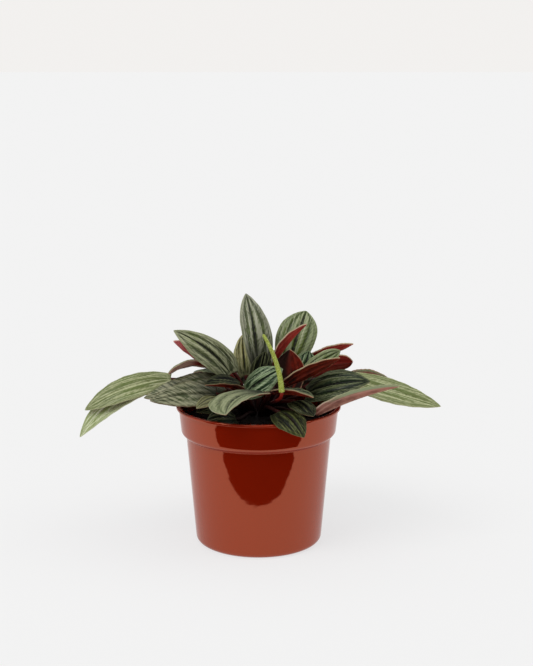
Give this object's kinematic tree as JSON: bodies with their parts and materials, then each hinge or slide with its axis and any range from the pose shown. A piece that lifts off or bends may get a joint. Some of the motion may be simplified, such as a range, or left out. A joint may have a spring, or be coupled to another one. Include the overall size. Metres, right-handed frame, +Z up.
{
  "type": "potted peperomia",
  "caption": "Potted house plant: a low rosette of ribbed, red-backed leaves on fleshy red stalks, with a thin flower spike, in soil in a glossy tapered plastic nursery pot.",
  "frame": {"origin": "centre of the pot's foot, on the surface that the pot stands on", "axes": "+Z up out of the pot, -Y towards the side that the plant shows, +X to the right when seen from that side"},
  "size_m": [0.2613, 0.1774, 0.1783],
  "materials": {
    "pot_plastic": "glossy, injection moulded, terracotta red",
    "potting_soil": "matt, moist, crumbly peat and bark",
    "stalk": "satin, fleshy, wine red",
    "leaf": "satin, silvery green above and wine red beneath, with sunken veins",
    "flower": "matt, yellow green, finely pimpled"
  },
  "bodies": {
    "root": {"crown_and_stalks": "stalk", "flower_spike": "flower", "leaf_back_high_1": "leaf", "leaf_back_high_2": "leaf", "leaf_back_high_3": "leaf", "leaf_back_high_4": "leaf", "leaf_back_high_5": "leaf", "leaf_back_high_6": "leaf", "leaf_back_low_1": "leaf", "leaf_back_low_2": "leaf", "leaf_back_low_3": "leaf", "leaf_back_low_4": "leaf", "leaf_back_low_5": "leaf", "leaf_back_low_6": "leaf", "leaf_back_low_7": "leaf", "leaf_behind_channel": "leaf", "leaf_behind_sail": "leaf", "leaf_centre": "leaf", "leaf_front_curl": "leaf", "leaf_front_left": "leaf", "leaf_front_right": "leaf", "leaf_inner_left": "leaf", "leaf_left_channel": "leaf", "leaf_left_droop": "leaf", "leaf_left_hook": "leaf", "leaf_left_long": "leaf", "leaf_left_low": "leaf", "leaf_left_red": "leaf", "leaf_left_silver": "leaf", "leaf_low_left": "leaf", "leaf_low_side": "leaf", "leaf_red_centre": "leaf", "leaf_red_channel": "leaf", "leaf_red_far": "leaf", "leaf_red_round": "leaf", "leaf_red_sail": "leaf", "leaf_right_broad": "leaf", "leaf_right_edge": "leaf", "leaf_right_keel": "leaf", "leaf_right_long": "leaf", "leaf_rim_inner": "leaf", "leaf_rim_outer": "leaf", "leaf_small_centre": "leaf", "leaf_top": "leaf", "leaf_upper_left": "leaf", "leaf_upper_right": "leaf", "pot": "pot_plastic", "soil": "potting_soil"}
  },
  "joints": []
}
